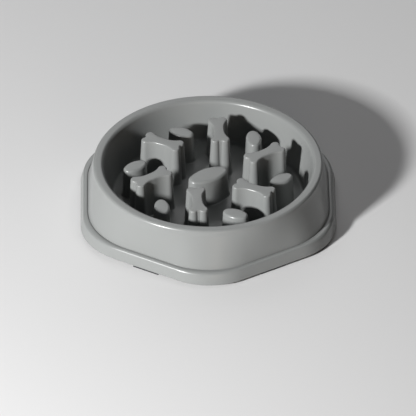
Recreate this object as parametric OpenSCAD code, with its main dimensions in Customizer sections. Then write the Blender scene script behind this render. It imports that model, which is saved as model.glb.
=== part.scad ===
// Slow feeder bowl for a dog.
// One moulded shell: a rounded hexagon foot flange with a ledge, a skirt that runs up from the
// hexagon to a round rim, and a basin whose floor stands full of hollow posts. Six rubber strips
// plug into slots under the middles of the six sides and carry the bowl.
// The origin is on the surface that the bowl stands on, under the middle of the basin, +Z up.

/* [Rim and basin] */
// Height of the rim above the surface that the bowl stands on
bowl_h = 44.2; // [38:0.1:54]
// Outside diameter of the round rim
rim_d = 194; // [185:0.5:197]
// Width of the flat band on top of the rim
rim_band = 3; // [2:0.1:4]
// Radius of the rounding from the rim into the basin
rim_inner_edge = 3.4; // [2.8:0.1:3.8]
// Radius of the rounding from the rim into the skirt
rim_outer_edge = 2.8; // [2.4:0.1:3]
// How far the basin wall leans outward, in degrees
wall_lean = 10; // [6:1:12]
// Height of the basin floor above the surface that the bowl stands on
floor_h = 6.8; // [6:0.1:8]
// Thickness of the basin floor
floor_t = 2.2; // [1.6:0.1:2.6]
// Radius of the fillet between floor and wall
floor_fillet = 3; // [1.5:0.1:5]
// Thickness of the basin wall and of the skirt
wall_t = 2.4; // [2:0.1:2.8]

/* [Foot flange] */
// How far the flat sides of the flange stand out beyond the rim
flange_reach = 10.5; // [9:0.1:13]
// Radius of the six vertical corners of the flange
flange_corner = 53; // [45:0.5:60]
// Height of the ledge on top of the flange
ledge_h = 11.9; // [10.5:0.1:14]
// Radius of the rounding along the outer edge of the ledge
ledge_edge = 2.2; // [1:0.1:2.3]
// Width of the ledge in the middle of a flat side, from the skirt to the outer edge
ledge_w = 5.2; // [4.4:0.1:6]
// Radius of the six corners at the foot of the skirt
skirt_corner = 65; // [58:0.5:72]

/* [Bone posts] */
// How far the tops of the bone posts lie below the rim
bone_drop = 1.7; // [1.2:0.1:8]
// Distance from the axis to the middle of each bone
bone_ring = 50.4; // [49:0.1:51]
// Direction of the first bone as seen from the axis, in degrees
bone_angle = 18.9; // [17:0.1:21]
// Turn of each bone's long axis out of the radial direction, in degrees
bone_turn = 15; // [12:0.5:18]
// Radius of the four knobs of a bone
knob_r = 3.8; // [3.5:0.1:4.1]
// Distance from the middle of a bone to the centres of its knobs, along the bone
knob_reach = 13.8; // [13.4:0.1:14.4]
// Distance from the long axis of a bone to the centres of its knobs
knob_side = 4.2; // [3.9:0.1:4.5]
// How far the wall between the two knobs of an end stands out beyond their centres
knob_web = 2.4; // [1.6:0.1:2.4]
// Half the width of a bone at its waist
waist_r = 4.5; // [4.1:0.1:5]
// Radius of the rounding round the tops of the bone posts
bone_edge = 1.3; // [0.8:0.1:1.6]

/* [Oval posts] */
// How far the tops of the small oval posts lie below the rim
oval_drop = 9.8; // [7:0.1:16]
// Distance from the axis to the middle of each oval
oval_ring = 62.1; // [61:0.1:63]
// Direction of the first oval as seen from the axis, in degrees
oval_angle = 50.9; // [50:0.1:52]
// Turn of each oval's long axis out of the radial direction, in degrees
oval_turn = 45; // [40:0.5:50]
// Half the length of a small oval
oval_long = 11; // [10:0.1:11.6]
// Half the width of a small oval
oval_wide = 6.6; // [6.2:0.1:7]
// Radius of the two round ends of a small oval
oval_end = 4.8; // [4.4:0.1:5]
// Radius of the rounding round the tops of the small ovals
oval_edge = 2.2; // [1:0.1:2.6]

/* [Middle post] */
// How far the top of the middle post lies below the rim
hub_drop = 12.1; // [8:0.1:18]
// Direction of the middle post's long axis, in degrees
hub_angle = 30; // [26:1:34]
// Half the length of the middle post
hub_long = 18.2; // [16.5:0.1:18.8]
// Half the width of the middle post
hub_wide = 9.4; // [8.8:0.1:10]
// Radius of the two round ends of the middle post
hub_end = 6.2; // [5.4:0.1:6.4]
// Radius of the rounding round the top of the middle post
hub_edge = 2.6; // [1:0.1:3]

/* [All posts] */
// Draft of the sides of the posts, in degrees
post_draft = 3; // [1:0.5:3.5]
// Thickness of the walls and tops of the hollow posts
post_t = 2; // [1.6:0.1:2.2]

/* [Rubber strips] */
// How far a strip stands out below the flange
strip_h = 1.9; // [1.4:0.1:2.6]
// Length of a strip
strip_l = 24.4; // [20:0.1:28]
// Width of a strip
strip_w = 6.2; // [5.2:0.1:7]
// Radius of the upright corners of a strip
strip_corner = 0.8; // [0.4:0.1:1.2]
// Distance from the flat side of the flange to a strip
strip_inset = 0.8; // [0.5:0.1:1.4]
// Width of the tongue on top of a strip
tongue_w = 2.4; // [2:0.1:2.8]
// Height of the tongue on top of a strip
tongue_h = 3; // [2.4:0.1:3.6]
// How much shorter the tongue is than the strip, at each end
tongue_step = 1.4; // [1:0.1:2]
// Clearance between a tongue and its slot
slot_gap = 0.15; // [0.1:0.05:0.3]
// Thickness of the plastic round a slot
seat_t = 1.8; // [1.5:0.1:2.2]

/* [Hidden] */
$fn = 96;

bone_top = bowl_h - bone_drop;
oval_top = bowl_h - oval_drop;
hub_top = bowl_h - hub_drop;
flange_w = rim_d + 2 * flange_reach;
skirt_w = flange_w - 2 * ledge_w;
sides = 6;
turn = 360 / sides;
half_turn = turn / 2;
loft_facets = 96;
corner_steps = 12;
edge_steps = 5;
// Every cut runs past the face that it opens by this much
overrun = wall_t / 2;
// Round forms that run on into each other pass their exact touch by this hair, so that they merge
meet_share = 0.025;
meet = meet_share * wall_t;
// Thickness of the sheets that a lofted form is stretched between
film_share = 0.0005;
film = film_share * wall_t;

// Places on the rim: the centres of its two roundings, and where the basin wall leaves it
rim_outer_c = [rim_d / 2 - rim_outer_edge, bowl_h - rim_outer_edge];
rim_inner_c = [rim_outer_c[0] - rim_band, bowl_h - rim_inner_edge];
wall_top = rim_inner_c + rim_inner_edge * [-cos(wall_lean), sin(wall_lean)];
floor_r = wall_top[0] - (wall_top[1] - floor_h) * tan(wall_lean);
// The wall's upright thickness is measured level, so the outer line is this far out
wall_level = wall_t / cos(wall_lean);
// The underside of the rim lies a little lower than both of its roundings' centres
rim_under_share = 0.1;
rim_under = min(rim_outer_c[1], rim_inner_c[1]) - rim_under_share * wall_t;

// The skirt's top ring ends inside the rim, just behind its outer rounding: so far in from the
// rim's edge and up from its underside, as shares of the wall and of the rounding
skirt_top_shares = [0.1, 0.2];
skirt_top_r = rim_d / 2 - skirt_top_shares[0] * wall_t;
skirt_top_h = rim_under + skirt_top_shares[1] * rim_outer_edge;
ledge_under = ledge_h - wall_t;

// Where the flange and its strips sit
flange_side = flange_w / 2;
strip_mid = flange_side - strip_inset - strip_w / 2;
slot_l = strip_l - 2 * tongue_step + 2 * slot_gap;
slot_w = tongue_w + 2 * slot_gap;
slot_h = tongue_h + slot_gap;
seat_l = slot_l + 2 * seat_t;
seat_in = strip_mid - slot_w / 2 - seat_t;

// Radius of the large circle that hollows a bone's waist and touches knobs of radius r
function waist_circle(reach, side, r, waist) =
    (reach * reach + (waist - side) * (waist - side) - r * r) / (2 * (r + side - waist));

// How far beyond the middle an oval's large side circle has its centre, for ends of radius r
function oval_offset(reach, wide, r) =
    (reach * reach - (wide - r) * (wide - r)) / (2 * (wide - r));

// A point with its two coordinates given the signs in way
function signed(point, way) = [point[0] * way[0], point[1] * way[1]];

// Runs its children round the six sides
module ring_of(first) {
    for (k = [0 : sides - 1]) {
        rotate(first + k * turn) children();
    }
}

// Plan of a hexagon with round corners, each corner an arc of corner_steps chords
module hexagon_plan(w, corner) {
    centre_r = (w / 2 - corner) / cos(half_turn);
    polygon([
        for (k = [0 : sides - 1], j = [0 : corner_steps])
            let (at = half_turn + k * turn, way = at - half_turn + j * turn / corner_steps)
            centre_r * [cos(at), sin(at)] + corner * [cos(way), sin(way)]
    ]);
}

// Section of a post or knob: drafted side, rounded top edge
module post_section(r, h, edge) {
    polygon([[0, 0], [r + (h - edge) * tan(post_draft), 0], [r, h - edge], [0, h - edge]]);
    square([r - edge, h]);
    translate([r - edge, h - edge]) circle(r = edge);
}

// Section of the round tool that hollows a side: drafted the other way, flared at the top
module hollowing_section(r, h, edge) {
    polygon([
        [0, -overrun], [r - (h - edge + overrun) * tan(post_draft), -overrun],
        [r, h - edge], [0, h - edge]
    ]);
    difference() {
        translate([0, h - edge]) square([r + edge, edge + overrun]);
        translate([r + edge, h - edge]) circle(r = edge);
    }
}

// Outline of a bone's core: from the end wall between two knobs it runs to each knob's centre,
// and from there out along the line to the centre of the large circle that hollows the waist
module core_plan(reach, side, web, past) {
    quarter = [[reach + web, side - abs(web)], [reach, side], [reach, side] + past];
    polygon([
        for (way = [[1, 1], [-1, 1], [-1, -1], [1, -1]], k = [0 : 2])
            signed(quarter[way[0] * way[1] > 0 ? k : 2 - k], way)
    ]);
}

// A bone: four round knobs, and between them a core that two large circles hollow to a waist
module bone(reach, side, r, web, waist, h, edge) {
    side_r = waist_circle(reach, side, r - meet, waist);
    way = [-reach, waist + side_r - side] / (side_r + r - meet);
    past = (r + h * tan(post_draft) + overrun) * way;
    difference() {
        linear_extrude(height = h) core_plan(reach, side, web, past);
        for (y = [-1, 1]) {
            translate([0, y * (waist + side_r), 0])
                rotate_extrude() hollowing_section(side_r, h, edge);
        }
    }
    for (x = [-1, 1], y = [-1, 1]) {
        translate([x * reach, y * side, 0]) rotate_extrude() post_section(r, h, edge);
    }
}

// A four-arc oval: two round ends, and between them the lens that two large circles share.
// The lens ends on the lines through the circles' centres, just inside the round ends.
module oval(long, wide, end, h, edge) {
    reach = long - end;
    off = oval_offset(reach, wide, end - meet);
    side_r = wide + off;
    way = [reach, off] / (side_r - end + meet);
    tip = [reach, 0] + (end + h * tan(post_draft) + overrun) * way;
    for (x = [-1, 1]) {
        translate([x * reach, 0, 0]) rotate_extrude() post_section(end, h, edge);
    }
    intersection() {
        linear_extrude(height = h) polygon([
            [reach, 0], tip, signed(tip, [-1, 1]), [-reach, 0], -tip, signed(tip, [1, -1])
        ]);
        translate([0, off, 0]) rotate_extrude() post_section(side_r, h, edge);
        translate([0, -off, 0]) rotate_extrude() post_section(side_r, h, edge);
    }
}

// The level outline of a bone at its top, for the straight hollow inside it
module bone_plan(reach, side, r, web, waist) {
    side_r = waist_circle(reach, side, r - meet, waist);
    way = [-reach, waist + side_r - side] / (side_r + r - meet);
    past = (r + overrun) * way;
    difference() {
        core_plan(reach, side, web, past);
        for (y = [-1, 1]) {
            translate([0, y * (waist + side_r)]) circle(r = side_r);
        }
    }
    for (x = [-1, 1], y = [-1, 1]) {
        translate([x * reach, y * side]) circle(r = r);
    }
}

// The level outline of an oval at its top, for the straight hollow inside it
module oval_plan(long, wide, end) {
    reach = long - end;
    off = oval_offset(reach, wide, end - meet);
    side_r = wide + off;
    way = [reach, off] / (side_r - end + meet);
    tip = [reach, 0] + (end + overrun) * way;
    for (x = [-1, 1]) {
        translate([x * reach, 0]) circle(r = end);
    }
    intersection() {
        polygon([
            [reach, 0], tip, signed(tip, [-1, 1]), [-reach, 0], -tip, signed(tip, [1, -1])
        ]);
        translate([0, off]) circle(r = side_r);
        translate([0, -off]) circle(r = side_r);
    }
}

// The posts as they stand on the floor, sunk halfway into it
module posts() {
    foot = floor_h - floor_t / 2;
    ring_of(bone_angle) translate([bone_ring, 0, foot]) rotate(bone_turn)
        bone(knob_reach, knob_side, knob_r, knob_web, waist_r, bone_top - foot, bone_edge);
    ring_of(oval_angle) translate([oval_ring, 0, foot]) rotate(oval_turn)
        oval(oval_long, oval_wide, oval_end, oval_top - foot, oval_edge);
    rotate(hub_angle) translate([0, 0, foot])
        oval(hub_long, hub_wide, hub_end, hub_top - foot, hub_edge);
}

// The straight cores of the mould that hollow the posts from below
module post_cores() {
    foot = floor_h - floor_t - overrun;
    ring_of(bone_angle) translate([bone_ring, 0, foot]) rotate(bone_turn)
        linear_extrude(height = bone_top - post_t - foot)
            bone_plan(knob_reach, knob_side, knob_r - post_t, knob_web - post_t, waist_r - post_t);
    ring_of(oval_angle) translate([oval_ring, 0, foot]) rotate(oval_turn)
        linear_extrude(height = oval_top - post_t - foot)
            oval_plan(oval_long - post_t, oval_wide - post_t, oval_end - post_t);
    rotate(hub_angle) translate([0, 0, foot])
        linear_extrude(height = hub_top - post_t - foot)
            oval_plan(hub_long - post_t, hub_wide - post_t, hub_end - post_t);
}

// Half section of the basin: floor, fillet, leaning wall and rim
module basin_section() {
    fillet_c = [
        floor_r + floor_fillet * (tan(wall_lean) - 1 / cos(wall_lean)), floor_h + floor_fillet
    ];
    fillet_top = fillet_c + floor_fillet * [cos(wall_lean), -sin(wall_lean)];
    under = floor_h - floor_t;
    under_r = floor_r + wall_level - floor_t * tan(wall_lean);
    translate([0, under]) square([floor_r, floor_t]);
    polygon([
        [floor_r - floor_t * tan(wall_lean), under], [under_r, under],
        [wall_top[0] + wall_level, wall_top[1]], wall_top
    ]);
    difference() {
        polygon([
            [fillet_c[0], floor_h - floor_t / 2], [floor_r + wall_level / 2, floor_h - floor_t / 2],
            [fillet_top[0] + wall_level / 2, fillet_top[1]], fillet_top, [fillet_c[0], fillet_top[1]]
        ]);
        translate(fillet_c) circle(r = floor_fillet);
    }
    intersection() {
        union() {
            translate(rim_inner_c) circle(r = rim_inner_edge);
            translate(rim_outer_c) circle(r = rim_outer_edge);
            translate([rim_inner_c[0], rim_under]) square([rim_band, bowl_h - rim_under]);
        }
        translate([0, rim_under]) square([rim_d, bowl_h]);
    }
}

// The solid inside the skirt's outer face, drawn in by inset
module skirt_loft(inset) {
    corner_c = (skirt_w / 2 - skirt_corner) / cos(half_turn);
    hull() {
        ring_of(half_turn) translate([corner_c, 0, ledge_under])
            cylinder(r = skirt_corner - inset, h = film, $fn = loft_facets);
        translate([0, 0, skirt_top_h - film])
            cylinder(r = skirt_top_r - inset, h = film, $fn = loft_facets);
    }
}

// The outside of the foot flange: an upright side, then a rounded edge that ends at the ledge
module flange_outside() {
    side_top = ledge_h - ledge_edge;
    translate([0, 0, strip_h]) linear_extrude(height = side_top - strip_h)
        hexagon_plan(flange_w, flange_corner);
    hull() {
        for (k = [0 : edge_steps]) {
            lift = ledge_edge * sin(k * 90 / edge_steps);
            drawn = ledge_edge * (1 - cos(k * 90 / edge_steps));
            translate([0, 0, side_top + lift - film]) linear_extrude(height = film)
                hexagon_plan(flange_w - 2 * drawn, flange_corner - drawn);
        }
    }
}

// Flange and skirt in one: side wall, ledge, and the wall that runs from the ledge up to the rim
module skirt() {
    difference() {
        union() {
            flange_outside();
            skirt_loft(0);
        }
        linear_extrude(height = ledge_under)
            hexagon_plan(flange_w - 2 * wall_t, flange_corner - wall_t);
        skirt_loft(wall_t);
        cylinder(r = skirt_top_r - wall_t, h = bowl_h);
    }
}

// The slotted seats under the middle of each side, one for the tongue of each rubber strip
module seats() {
    ring_of(0) translate([0, 0, strip_h]) difference() {
        translate([seat_in, -seat_l / 2, 0])
            cube([flange_side - wall_t / 2 - seat_in, seat_l, slot_h + seat_t]);
        translate([strip_mid - slot_w / 2, -slot_l / 2, -overrun])
            cube([slot_w, slot_l, slot_h + overrun]);
    }
}

// Rectangle with round corners, made of squares and circles
module soft_rectangle(l, w, corner) {
    square([l - 2 * corner, w], center = true);
    square([l, w - 2 * corner], center = true);
    for (x = [-1, 1], y = [-1, 1]) {
        translate([x * (l / 2 - corner), y * (w / 2 - corner)]) circle(r = corner);
    }
}

// The moulded shell, whose posts are hollow and open underneath
module bowl_shell() {
    color("#8f9190") difference() {
        union() {
            rotate_extrude() basin_section();
            posts();
            skirt();
            seats();
        }
        post_cores();
    }
}

// One rubber strip under the side that faces the direction given: tread below, tongue above
module strip(direction) {
    color("#26282a") rotate(direction) translate([strip_mid, 0, 0]) {
        rotate(90) linear_extrude(height = strip_h) soft_rectangle(strip_l, strip_w, strip_corner);
        translate([-tongue_w / 2, tongue_step - strip_l / 2, 0])
            cube([tongue_w, strip_l - 2 * tongue_step, strip_h + tongue_h]);
    }
}

bowl_shell();
strip(0);  // strip_right
strip(turn);  // strip_back_right
strip(2 * turn);  // strip_back_left
strip(3 * turn);  // strip_left
strip(4 * turn);  // strip_front_left
strip(5 * turn);  // strip_front_right
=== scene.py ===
import math

import bpy
import numpy as np
from mathutils import Matrix, Vector
from mathutils.geometry import delaunay_2d_cdt


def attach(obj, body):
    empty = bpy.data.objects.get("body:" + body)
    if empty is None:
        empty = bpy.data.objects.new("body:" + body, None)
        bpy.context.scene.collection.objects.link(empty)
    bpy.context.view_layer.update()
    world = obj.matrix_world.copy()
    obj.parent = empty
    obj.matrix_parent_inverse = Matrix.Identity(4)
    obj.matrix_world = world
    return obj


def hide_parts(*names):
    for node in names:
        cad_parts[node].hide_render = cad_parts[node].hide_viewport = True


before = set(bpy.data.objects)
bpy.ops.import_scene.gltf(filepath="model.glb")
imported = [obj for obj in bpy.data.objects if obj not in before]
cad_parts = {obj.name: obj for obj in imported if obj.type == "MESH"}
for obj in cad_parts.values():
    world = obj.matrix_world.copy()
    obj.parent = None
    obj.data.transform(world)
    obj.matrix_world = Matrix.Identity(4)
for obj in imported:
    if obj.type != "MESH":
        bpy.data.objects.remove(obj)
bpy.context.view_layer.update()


# The moulded shell: basin, rim, skirt and foot flange

# One injection-moulded piece of grey polypropylene with even walls of about 2.4 mm. The mould's
# polished steel gives it a satin gloss. Everything from the basin floor to the foot of the
# flange comes out of the mould as one skin, open from below.

# Lengths are in millimetres, and MM turns them into the frame's metres
MM = 0.001
RIM_R = 97.0
BOWL_H = 44.2
RIM_BAND = 3.0
RIM_INNER_EDGE = 3.4
RIM_OUTER_EDGE = 2.8
# The hollow under the rim ends this far below the centre of the rim's inner rounding
RIM_UNDER_DROP = 0.247
WALL_LEAN = math.radians(10)
WALL_T = 2.4
FLOOR_H = 6.8
FLOOR_T = 2.2
FLOOR_FILLET = 3.0
FLANGE_APOTHEM = 107.5
FLANGE_CORNER = 53.0
FLANGE_FOOT = 1.9
FLANGE_LEAN = math.radians(13)
FOOT_EDGE = 0.4
LEDGE_H = 12.3
LEDGE_EDGE = 2.7
LEDGE_FLAT = 1.6
LEDGE_ROLL = 0.8
# The direction, in degrees, in which the ledge's roll meets the skirt
LEDGE_ROLL_END = 168
SIDE_CORNER = 56.0
SKIRT_CORNER = 62.0
# Smooth shading makes the lowest step of the skirt look like a fillet of this height
SKIRT_FILLET = 0.3
SIXTH_TURN = math.pi / 3
# Points in each ring of the shell
AROUND = 480


def rounded_hexagon(azimuth, apothem, corner):
    """Distance from the axis to a hexagon with round corners, in each direction.

    Towards a flat side it is apothem / cos(angle from the side's middle). Past the end of the
    flat it is the far crossing with the corner's circle, whose centre stands at
    (apothem - corner) / cos 30 degrees from the axis.
    """
    half = SIXTH_TURN / 2
    off_side = (azimuth + half) % SIXTH_TURN - half
    off_corner = azimuth % SIXTH_TURN - half
    centre = (apothem - corner) / math.cos(half)
    flat = apothem / np.cos(off_side)
    arc = centre * np.cos(off_corner) + np.sqrt(corner ** 2 - (centre * np.sin(off_corner)) ** 2)
    half_flat = (apothem - corner) * math.tan(half)
    return np.where(np.abs(flat * np.sin(off_side)) < half_flat, flat, arc)


def arc_points(centre, radius, start, end, count):
    """Points (r, z) on a circle in the upright plane, from angle start to end in degrees."""
    angles = np.radians(np.linspace(start, end, count))
    return [(centre[0] + radius * math.cos(a), centre[1] + radius * math.sin(a)) for a in angles]


def grid_faces(rows, columns):
    """Four-sided faces of a grid whose columns run round and close on themselves."""
    low = np.arange(rows - 1)[:, None] * columns
    high = low + columns
    here = np.arange(columns)[None, :]
    after = (here + 1) % columns
    return np.stack([low + here, low + after, high + after, high + here], axis=-1).reshape(-1, 4)


class Skin:
    """Collects grids and flat caps in millimetres and welds them where they share points."""

    def __init__(self):
        self.points = []
        self.faces = []
        self.count = 0

    def add(self, points, faces, flip=False):
        """Adds points and the faces between them, turned inside out where flip is set."""
        points = np.asarray(points, dtype=float).reshape(-1, 3)
        faces = np.asarray(faces) + self.count
        self.points.append(points)
        self.faces += [f[::-1] if flip else f for f in faces.tolist()]
        self.count += len(points)

    def add_rings(self, rings, flip=False):
        """Adds the surface that runs from each closed ring to the next."""
        rings = np.asarray(rings)
        self.add(rings, grid_faces(rings.shape[0], rings.shape[1]), flip)

    def add_cap(self, ring, flip=False):
        """Adds one flat face that fills a closed ring."""
        self.add(ring, [list(range(len(ring)))], flip)

    def add_closed(self, rings):
        """Adds rings with a cap over the first and over the last."""
        self.add_rings(rings)
        self.add_cap(rings[0], flip=True)
        self.add_cap(rings[-1])

    def to_object(self, name):
        """A smooth mesh in metres, with one point for all that agree to 0.0001 mm."""
        points = np.concatenate(self.points)
        key = np.round(points * 1e4).astype(np.int64)
        _, keep, place = np.unique(key, axis=0, return_index=True, return_inverse=True)
        place = place.reshape(-1)
        faces = []
        for face in self.faces:
            corners = [int(place[v]) for v in face]
            corners = [v for i, v in enumerate(corners) if v != corners[i - 1]]
            if len(corners) > 2:
                faces.append(corners)
        mesh = bpy.data.meshes.new(name)
        mesh.from_pydata((points[keep] * MM).tolist(), [], faces)
        mesh.validate()
        mesh.shade_smooth()
        obj = bpy.data.objects.new(name, mesh)
        bpy.context.scene.collection.objects.link(obj)
        return obj


azimuth = np.arange(AROUND) * 2 * math.pi / AROUND


def ring_at(radius, z):
    """A closed ring of points at height z, at the given distance or distances from the axis."""
    x, y = radius * np.cos(azimuth), radius * np.sin(azimuth)
    return np.stack([x, y, np.full(AROUND, z)], axis=-1)


# The basin: floor edge, fillet, leaning wall, and the rim's two roundings with a band between
rim_outer_centre = (RIM_R - RIM_OUTER_EDGE, BOWL_H - RIM_OUTER_EDGE)
rim_inner_centre = (rim_outer_centre[0] - RIM_BAND, BOWL_H - RIM_INNER_EDGE)
wall_top = (
    rim_inner_centre[0] - RIM_INNER_EDGE * math.cos(WALL_LEAN),
    rim_inner_centre[1] + RIM_INNER_EDGE * math.sin(WALL_LEAN),
)
floor_r = wall_top[0] - (wall_top[1] - FLOOR_H) * math.tan(WALL_LEAN)
fillet_centre = (
    floor_r + FLOOR_FILLET * (math.tan(WALL_LEAN) - 1 / math.cos(WALL_LEAN)),
    FLOOR_H + FLOOR_FILLET,
)
wall_lean_deg = math.degrees(WALL_LEAN)
basin_line = arc_points(fillet_centre, FLOOR_FILLET, -90, -wall_lean_deg, 8)
wall_foot = basin_line[-1]
wall_run = wall_top[0] - wall_foot[0]
wall_rise = wall_top[1] - wall_foot[1]
for t in np.linspace(0, 1, 6)[1:-1]:
    basin_line.append((wall_foot[0] + wall_run * t, wall_foot[1] + wall_rise * t))
basin_line += arc_points(rim_inner_centre, RIM_INNER_EDGE, 180 - wall_lean_deg, 90, 10)
basin_line += arc_points(rim_outer_centre, RIM_OUTER_EDGE, 90, 0, 10)
shell_rings = [ring_at(r, z) for r, z in basin_line]

# The flange's line: a ledge that rolls over into the crease at the skirt, a side that leans in,
# and a small rounding at the foot. Its six corners get rounder from the foot up to the ledge.
foot_centre = (FLANGE_APOTHEM - FOOT_EDGE, FLANGE_FOOT + FOOT_EDGE)
side_low = (
    foot_centre[0] + FOOT_EDGE * math.cos(FLANGE_LEAN),
    foot_centre[1] + FOOT_EDGE * math.sin(FLANGE_LEAN),
)
edge_h = LEDGE_H - LEDGE_EDGE
side_high_h = edge_h + LEDGE_EDGE * math.sin(FLANGE_LEAN)
side_high = side_low[0] - (side_high_h - side_low[1]) * math.tan(FLANGE_LEAN)
edge_centre = (side_high - LEDGE_EDGE * math.cos(FLANGE_LEAN), edge_h)
roll_centre = (edge_centre[0] - LEDGE_FLAT + LEDGE_ROLL, LEDGE_H - LEDGE_ROLL)
flange_lean_deg = math.degrees(FLANGE_LEAN)
flange_line = arc_points(roll_centre, LEDGE_ROLL, LEDGE_ROLL_END, 90, 6)
flange_line += arc_points(edge_centre, LEDGE_EDGE, 90, flange_lean_deg, 10)
flange_line += arc_points(foot_centre, FOOT_EDGE, flange_lean_deg, -90, 6)
crease = flange_line[0]


def flange_corner(apothem):
    """Radius of the corners: so much at the foot, at the top of the side, and at the crease."""
    return float(np.interp(FLANGE_APOTHEM - apothem,
                           [0, FLANGE_APOTHEM - side_high, FLANGE_APOTHEM - crease[0]],
                           [FLANGE_CORNER, SIDE_CORNER, SKIRT_CORNER]))


# The skirt: straight lines from the rim's outer rounding down to the hexagon at the crease
skirt_foot = rounded_hexagon(azimuth, crease[0], SKIRT_CORNER)
skirt_top = rim_outer_centre[1]


def skirt_radius(z, inset=0.0):
    """Between the rim's circle and the hexagon at the crease, in proportion to the height."""
    t = (skirt_top - z) / (skirt_top - crease[1])
    return (RIM_R - inset) * (1 - t) + (skirt_foot - inset) * t


for z in np.linspace(skirt_top, crease[1] + SKIRT_FILLET, 9)[1:]:
    shell_rings.append(ring_at(skirt_radius(z), z))
# The flange itself, from the crease over the rounded ledge down to its foot
for apothem, z in flange_line:
    shell_rings.append(ring_at(rounded_hexagon(azimuth, apothem, flange_corner(apothem)), z))

# The inside, one wall thickness in: flange, ledge, skirt, rim, and the back of the basin wall
inner_flange = rounded_hexagon(azimuth, FLANGE_APOTHEM - WALL_T, FLANGE_CORNER - WALL_T)
under_ledge = LEDGE_H - WALL_T
under_rim = rim_inner_centre[1] - RIM_UNDER_DROP
under_floor = FLOOR_H - FLOOR_T
leaned_in = (under_ledge - FLANGE_FOOT) * math.tan(FLANGE_LEAN)
wall_level_t = WALL_T / math.cos(WALL_LEAN)
under_floor_r = floor_r + wall_level_t - FLOOR_T * math.tan(WALL_LEAN)
shell_rings += [
    ring_at(inner_flange, FLANGE_FOOT),
    ring_at(inner_flange - leaned_in, under_ledge),
    ring_at(skirt_radius(under_ledge, WALL_T), under_ledge),
    ring_at(skirt_radius(under_rim, WALL_T), under_rim),
    ring_at(wall_top[0] + wall_level_t, under_rim),
    ring_at(under_floor_r, under_floor),
]
shell = Skin()
shell.add_rings(shell_rings, flip=True)


# The posts on the basin floor, which are parts of the same moulding

# Six bone-shaped posts, six small ovals and a larger oval in the middle stand on the floor and
# make the dog eat round them. Each is hollow from below, with about 2 mm of wall, and leans
# inward by a few degrees so that it leaves the mould.

POST_DRAFT = math.radians(3)
POST_T = 2.0
FOOT_FILLET = 1.2
# The hollow arcs of a bone get smaller as its outline grows, but not below these radii
LEAST_BEND = 0.4
LEAST_GROOVE = 0.3
# For each kind of post: the height of its top; the distance ("ring") and angle at which it
# stands from the axis, and its turn out of that direction, in degrees; the measures of its
# outline, which bone_ring and oval_ring explain; and the rounding of its top edge
BONES = dict(top=42.5, ring=50.4, angle=18.9, turn=15, reach=13.8, side=4.2, knob=3.8, web=2.4,
             waist=4.5, bend=18.0, groove=1.0, edge=1.3)
OVALS = dict(top=34.4, ring=62.1, angle=50.9, turn=45, long=11.0, wide=6.6, end=4.8, edge=2.2)
HUB = dict(top=32.1, ring=0.0, angle=30, turn=0, long=18.2, wide=9.4, end=6.2, edge=2.6)


def arc_run(centre, radius, start, end, count):
    """Points on a level circle from angle start up to, but not including, angle end."""
    a = start + (end - start) * np.arange(count) / count
    return np.stack([centre[0] + radius * np.cos(a), centre[1] + radius * np.sin(a)], axis=-1)


def bone_ring(grow, spec):
    """Outline of a bone, grown outward by grow, anticlockwise.

    Four knob circles have their centres at (+-reach, +-side). Level walls run along the waist at
    +-waist and across each end at +-(reach + web). A hollow circle, of radius bend at the waist
    and groove at the ends, joins each wall to each knob: it touches both, so its centre lies its
    own radius beyond the wall, and the sum of both radii away from the knob's centre. Where the
    end's two hollows would cross, they meet instead.
    """
    reach, side, r = spec["reach"], spec["side"], spec["knob"] + grow
    waist = spec["waist"] + grow
    bend = max(spec["bend"] - grow, LEAST_BEND)
    groove = max(spec["groove"] - grow, LEAST_GROOVE)
    web = max(spec["web"] + grow, math.sqrt(max((r + groove) ** 2 - side ** 2, 0)) - groove)
    end_centre = (reach + web + groove, side - math.sqrt((r + groove) ** 2 - (web + groove) ** 2))
    past_middle = math.sqrt((r + bend) ** 2 - (waist + bend - side) ** 2)
    side_centre = (reach - past_middle, waist + bend)
    to_end = math.atan2(end_centre[1] - side, end_centre[0] - reach)
    to_side = math.atan2(side_centre[1] - side, side_centre[0] - reach)
    flat = np.linspace(side_centre[0], -side_centre[0], 5)[1:-1]
    # From the middle of the right-hand end round to the middle of the left-hand one
    upper = np.concatenate([
        [(reach + web, 0.0)],
        arc_run(end_centre, groove, math.pi, math.pi + to_end, 4),
        arc_run((reach, side), r, to_end, to_side, 18),
        arc_run(side_centre, bend, to_side - math.pi, -math.pi / 2, 9),
        [(side_centre[0], waist)],
        np.stack([flat, np.full(len(flat), waist)], axis=-1),
        arc_run((-side_centre[0], side_centre[1]), bend, -math.pi / 2, -to_side, 9),
        arc_run((-reach, side), r, math.pi - to_side, math.pi - to_end, 18),
        arc_run((-end_centre[0], end_centre[1]), groove, -to_end, 0, 4),
        [(-end_centre[0] + groove, end_centre[1])],
    ])
    return np.concatenate([upper, -upper])


def oval_ring(grow, spec):
    """Outline of an oval, grown outward by grow: two end circles and two large side circles.

    The end circles, of radius end, have their centres at (+-reach, 0). The side circles bulge
    out to wide, with their centres as far (off) across the middle as lets them touch the end
    circles from outside: reach squared + off squared = (side radius - end) squared.
    """
    wide, end = spec["wide"], spec["end"]
    reach = spec["long"] - end
    off = (reach ** 2 - (wide - end) ** 2) / (2 * (wide - end))
    side_r = wide + off
    tip = math.atan2(off, reach)
    upper = np.concatenate([
        arc_run((reach, 0), end + grow, 0, tip, 12),
        arc_run((0, -off), side_r + grow, tip, math.pi - tip, 26),
        arc_run((-reach, 0), end + grow, math.pi - tip, math.pi, 12),
    ])
    return np.concatenate([upper, -upper])


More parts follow.
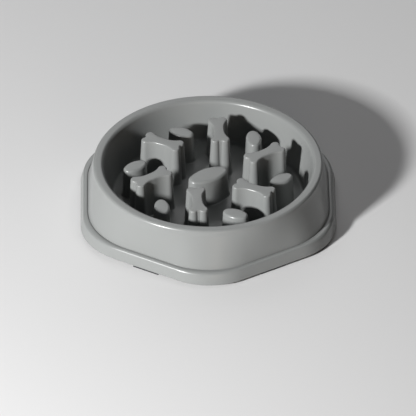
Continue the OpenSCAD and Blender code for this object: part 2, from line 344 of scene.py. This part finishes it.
def post_levels(top, foot, edge, flare):
    """Pairs (growth, height) from foot to top: a flare at the foot, the drafted side, the edge."""
    side_h = top - edge
    levels = []
    base = (side_h - foot) * math.tan(POST_DRAFT)
    for a in np.radians(np.linspace(0, 90, 6)) if flare else []:
        levels.append((base + flare * (1 - math.sin(a)), foot + flare * (1 - math.cos(a))))
    start = levels[-1][1] if levels else foot
    for z in np.linspace(start, side_h, 5)[1 if levels else 0:]:
        levels.append(((side_h - z) * math.tan(POST_DRAFT), z))
    for a in np.radians(np.linspace(0, 90, 7))[1:]:
        levels.append((-edge * (1 - math.cos(a)), side_h + edge * math.sin(a)))
    return levels


def placed(outline, z, spec, k):
    """An outline turned and moved to its place on the floor, k times 60 degrees round."""
    at = math.radians(spec["angle"] + 60 * k)
    way = at + math.radians(spec["turn"])
    x = outline[:, 0] * math.cos(way) - outline[:, 1] * math.sin(way) + spec["ring"] * math.cos(at)
    y = outline[:, 0] * math.sin(way) + outline[:, 1] * math.cos(way) + spec["ring"] * math.sin(at)
    return np.stack([x, y, np.full(len(x), z)], axis=-1)


def add_post(outline, spec, k):
    """Adds one post, outside and inside, to the shell; returns its two loops in the floor."""
    outside = []
    for grow, z in post_levels(spec["top"], FLOOR_H, spec["edge"], FOOT_FILLET):
        outside.append(placed(outline(grow, spec), z, spec, k))
    shell.add_rings(outside)
    shell.add_cap(outside[-1])
    hollow = []
    for grow, z in post_levels(spec["top"] - POST_T, under_floor, spec["edge"] / 2, 0):
        hollow.append(placed(outline(grow - POST_T, spec), z, spec, k))
    shell.add_rings(hollow, flip=True)
    shell.add_cap(hollow[-1], flip=True)
    return outside[0], hollow[0]


posts = []
for k in range(6):
    posts.append(add_post(bone_ring, BONES, k))
    posts.append(add_post(oval_ring, OVALS, k))
posts.append(add_post(oval_ring, HUB, 0))

# The floor is cut into triangles that lie inside the given sides and keep all of them
KEEP_INSIDE = 1
SAME_POINT = 1e-6
# Added to the height of a side, so that a level one is never a division by zero
NEVER_ZERO = 1e-30


def inside(points, loop):
    """True where a point lies inside a closed loop, by counting the sides that it crosses.

    A level line from the point outward crosses a side that has one end above the line and one
    below it, and cuts the line further out than the point.
    """
    x, y = points[:, 0][:, None], points[:, 1][:, None]
    ax, ay = loop[:, 0][None, :], loop[:, 1][None, :]
    bx, by = np.roll(ax, -1, axis=1), np.roll(ay, -1, axis=1)
    crosses = ((ay > y) != (by > y)) & (x < (bx - ax) * (y - ay) / (by - ay + NEVER_ZERO) + ax)
    return crosses.sum(axis=1) % 2 == 1


def floor_sheet(edge, holes, flip=False):
    """Adds a level sheet between its edge and the loops of the posts, as triangles."""
    loops = [edge] + holes
    flat = np.concatenate(loops)
    sides, first = [], 0
    for loop in loops:
        count = len(loop)
        sides += [(first + i, first + (i + 1) % count) for i in range(count)]
        first += count
    _, _, triangles, sources, _, _ = delaunay_2d_cdt(
        [Vector(p[:2]) for p in flat.tolist()], sides, [], KEEP_INSIDE, SAME_POINT)
    triangles = np.array(triangles)
    points = flat[[given[0] for given in sources], :2]
    middle = points[triangles].mean(axis=1)
    keep = inside(middle, edge)
    for loop in holes:
        keep &= ~inside(middle, loop)
    sheet = np.column_stack([points, np.full(len(points), edge[0, 2])])
    shell.add(sheet, triangles[keep], flip)


floor_sheet(shell_rings[0], [above for above, _ in posts])
floor_sheet(shell_rings[-1], [below for _, below in posts], flip=True)

# Under the middle of each side stands a slotted seat that holds the tongue of a rubber strip
STRIP_MID = 103.6
SEAT_L = 25.5
SEAT_IN = 100.45
SEAT_OUT = FLANGE_APOTHEM - WALL_T / 2
SEAT_H = 4.95
SEAT_CORNER = 0.2
# The seats end a hair above the foot of the flange, so that they share no face with the strips
SEAT_GAP = 0.02
SLOT_L = 21.9
SLOT_W = 2.7
SLOT_H = 3.15
CORNER_STEPS = 6


def block_ring(length, width, corner, z):
    """A rectangle with round corners at height z: four quarter circles joined by flats."""
    quarters = []
    for k, (side_x, side_y) in enumerate(((1, 1), (-1, 1), (-1, -1), (1, -1))):
        a = math.pi / 2 * (k + np.arange(CORNER_STEPS + 1) / CORNER_STEPS)
        quarters.append(np.stack([
            side_x * (width / 2 - corner) + corner * np.cos(a),
            side_y * (length / 2 - corner) + corner * np.sin(a),
            np.full(len(a), z),
        ], axis=-1))
    return np.concatenate(quarters)


def turned(points, angle):
    """Points set out by the strips' distance from the bowl's axis and turned about it."""
    x, y, z = (points + [STRIP_MID, 0, 0]).T
    cos, sin = math.cos(angle), math.sin(angle)
    return np.stack([x * cos - y * sin, x * sin + y * cos, z], axis=-1)


slot_ring = block_ring(SLOT_L, SLOT_W, SEAT_CORNER, 0.0)
seat_ring = block_ring(SEAT_L, SEAT_OUT - SEAT_IN, SEAT_CORNER, 0.0)
seat_ring += [(SEAT_OUT + SEAT_IN) / 2 - STRIP_MID, 0, 0]
seat_rings = [
    slot_ring + [0, 0, FLANGE_FOOT + SLOT_H],
    slot_ring + [0, 0, FLANGE_FOOT + SEAT_GAP],
    seat_ring + [0, 0, FLANGE_FOOT + SEAT_GAP],
    seat_ring + [0, 0, FLANGE_FOOT + SEAT_H],
]
for k in range(6):
    shell.add_closed([turned(ring, k * SIXTH_TURN) for ring in seat_rings])
bowl = shell.to_object("bowl_shell_moulding")


def linear(code):
    """Turns an sRGB hex colour into linear red, green, blue and an alpha of one."""
    channels = [int(code[i:i + 2], 16) / 255 for i in (0, 2, 4)]
    colour = [c / 12.92 if c <= 0.04045 else ((c + 0.055) / 1.055) ** 2.4 for c in channels]
    return (*colour, 1.0)


def add_node(tree, kind, settings=None, links=None):
    """Adds a shader node, sets its sockets and properties, and links its inputs."""
    node = tree.nodes.new(kind)
    for key, value in (settings or {}).items():
        if key in node.inputs:
            node.inputs[key].default_value = value
        else:
            setattr(node, key, value)
    for key, source in (links or {}).items():
        tree.links.new(source, node.inputs[key])
    return node


def new_material(name):
    """An empty node material, and the place where its surface goes."""
    material = bpy.data.materials.new(name)
    material.use_nodes = True
    tree = material.node_tree
    tree.nodes.clear()
    return material, tree, add_node(tree, "ShaderNodeOutputMaterial")


# Polypropylene from a polished mould: a satin sheen over an even grey, with the faint unevenness
# that a cooling moulding gets. The ripples are about 6 mm long and 0.02 mm high.
RIPPLE_LENGTH = 6.25
RIPPLE_BUMP = 0.4
RIPPLE_STRENGTH = 0.06
polypropylene, tree, surface = new_material("moulded_polypropylene_grey")
place = add_node(tree, "ShaderNodeTexCoord")
ripple = add_node(tree, "ShaderNodeTexNoise",
                  {"Scale": 1 / (RIPPLE_LENGTH * MM), "Detail": 2.0, "Roughness": 0.5},
                  {"Vector": place.outputs["Object"]})
bump = add_node(tree, "ShaderNodeBump",
                {"Strength": RIPPLE_STRENGTH, "Distance": RIPPLE_BUMP * MM},
                {"Height": ripple.outputs["Fac"]})
plastic = add_node(tree, "ShaderNodeBsdfPrincipled",
                   {"Base Color": linear("828483"), "Roughness": 0.28, "IOR": 1.49},
                   {"Normal": bump.outputs["Normal"]})
tree.links.new(plastic.outputs["BSDF"], surface.inputs["Surface"])
bowl.data.materials.append(polypropylene)
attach(bowl, "root")
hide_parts("bowl_shell")


# The six anti-slip strips

# Moulded strips of dark rubber, each pressed by its tongue into a slotted seat under the middle
# of one side of the flange. They carry the bowl and stand out about 2 mm below it.

STRIP_H = 1.9
STRIP_L = 24.4
STRIP_W = 6.2
STRIP_CORNER = 0.8
STRIP_EDGE = 0.35
TONGUE_W = 2.4
TONGUE_H = 3.0
TONGUE_STEP = 1.4
TONGUE_CORNER = 0.2
SHARP_FROM = math.radians(40)
STRIPS = ("strip_right", "strip_back_right", "strip_back_left",
          "strip_left", "strip_front_left", "strip_front_right")

# Rubber from a plain steel mould: nearly black and matt, with a grain about half a millimetre
# across and 0.02 mm deep. The grain is finer than the photograph could show.
GRAINS_PER_MM = 1.8
GRAIN_BUMP = 0.1
GRAIN_STRENGTH = 0.2
rubber, tree, surface = new_material("moulded_rubber_dark")
place = add_node(tree, "ShaderNodeTexCoord")
grain = add_node(tree, "ShaderNodeTexNoise", {"Scale": GRAINS_PER_MM / MM, "Detail": 2.0},
                 {"Vector": place.outputs["Object"]})
bump = add_node(tree, "ShaderNodeBump",
                {"Strength": GRAIN_STRENGTH, "Distance": GRAIN_BUMP * MM},
                {"Height": grain.outputs["Fac"]})
tread_skin = add_node(tree, "ShaderNodeBsdfPrincipled",
                      {"Base Color": linear("232527"), "Roughness": 0.7, "IOR": 1.52},
                      {"Normal": bump.outputs["Normal"]})
tree.links.new(tread_skin.outputs["BSDF"], surface.inputs["Surface"])

# The tread with its lower edge rounded, and the narrower tongue on top of it
strip_rings = []
for a in np.radians(np.linspace(0, 90, 5)):
    drawn = STRIP_EDGE * (1 - math.sin(a))
    strip_rings.append(block_ring(STRIP_L - 2 * drawn, STRIP_W - 2 * drawn, STRIP_CORNER - drawn,
                                  STRIP_EDGE * (1 - math.cos(a))))
strip_rings.append(block_ring(STRIP_L, STRIP_W, STRIP_CORNER, STRIP_H))
tongue_l = STRIP_L - 2 * TONGUE_STEP
strip_rings.append(block_ring(tongue_l, TONGUE_W, TONGUE_CORNER, STRIP_H))
strip_rings.append(block_ring(tongue_l, TONGUE_W, TONGUE_CORNER, STRIP_H + TONGUE_H))

for k, name in enumerate(STRIPS):
    strip = Skin()
    strip.add_closed([turned(ring, k * SIXTH_TURN) for ring in strip_rings])
    tread = strip.to_object(name + "_moulding")
    tread.data.set_sharp_from_angle(angle=SHARP_FROM)
    tread.data.materials.append(rubber)
    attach(tread, "root")
    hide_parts(name)


# The stage: floor, lamps and camera

# A pale floor in a dim, cool surround. A small lamp low at the front left throws the shadows, a
# large card lights the bowl from behind, and three weaker lamps fill in from the back right, the
# front right and high up. The camera stands far off, with a long lens.

# The lengths of the floor and the lamps are in metres
FLOOR_SIZE = 8.0
FLOOR_DROP = 0.0002
SURROUND_STRENGTH = 0.018
bpy.ops.mesh.primitive_plane_add(size=FLOOR_SIZE, location=(0, 0, -FLOOR_DROP))
ground = bpy.context.object
ground.name = "stage_floor"
pale, tree, surface = new_material("pale_matt_paper")
paper = add_node(tree, "ShaderNodeBsdfDiffuse", {"Color": linear("DCDCDC")})
tree.links.new(paper.outputs["BSDF"], surface.inputs["Surface"])
ground.data.materials.append(pale)

world = bpy.data.worlds.new("studio")
world.use_nodes = True
surround = world.node_tree.nodes["Background"]
surround.inputs["Color"].default_value = linear("E2EBFF")
surround.inputs["Strength"].default_value = SURROUND_STRENGTH
bpy.context.scene.world = world
bpy.context.scene.view_settings.view_transform = "Standard"

LAMP_DISTANCE = 2.0


def soft_light(name, azimuth_deg, elevation_deg, size, watts, colour="FFFFFF"):
    """A square area light that looks at the bowl from the given direction."""
    data = bpy.data.lights.new(name, "AREA")
    data.energy = watts
    data.size = size
    data.color = linear(colour)[:3]
    lamp = bpy.data.objects.new(name, data)
    round_by, up_by = math.radians(azimuth_deg), math.radians(elevation_deg)
    level = math.cos(up_by)
    way = Vector((level * math.cos(round_by), level * math.sin(round_by), math.sin(up_by)))
    lamp.location = way * LAMP_DISTANCE
    lamp.rotation_euler = way.to_track_quat("Z", "Y").to_euler()
    bpy.context.scene.collection.objects.link(lamp)


soft_light("key", 226, 23.8, 0.18, 66)
soft_light("back_card", 90, 36, 1.6, 9.6)
soft_light("back_right_fill", 50, 15, 0.6, 0.5)
soft_light("front_right_fill", 280, 12, 0.6, 3.0, "FFECDC")
soft_light("edge_light", 25, 64, 0.2, 1.8)

# The camera as it was fitted to the photograph: angles in radians, lengths in the fit's own unit
# of 0.95 mm, and the focal length in pixels of a frame that is 416 pixels wide
FIT_UNIT = 0.95e-3
ELEVATION = 0.640523
YAW = 0.011729
DISTANCE = 7080.75
AIM_X = -0.130
AIM_Z = -3.981
FOCAL_PX = 7969.29
FRAME_PX = 416
SENSOR_W = 36.0
SEES_AS_FAR_AS = 50.0
level = math.cos(ELEVATION)
rise = math.sin(ELEVATION)
right = Vector((1, 0, 0))
up = Vector((0, rise, level))
back = Vector((0, -level, rise))
spot = Vector((AIM_X, -DISTANCE * level, AIM_Z + DISTANCE * rise)) * FIT_UNIT
camera_data = bpy.data.cameras.new("camera")
camera_data.sensor_fit = "HORIZONTAL"
camera_data.sensor_width = SENSOR_W
camera_data.lens = FOCAL_PX * SENSOR_W / FRAME_PX
camera_data.clip_end = SEES_AS_FAR_AS
camera = bpy.data.objects.new("camera", camera_data)
camera.matrix_world = Matrix.Rotation(-YAW, 4, "Z") @ Matrix((
    (right.x, up.x, back.x, spot.x),
    (right.y, up.y, back.y, spot.y),
    (right.z, up.z, back.z, spot.z),
    (0, 0, 0, 1),
))
bpy.context.scene.collection.objects.link(camera)
bpy.context.scene.camera = camera
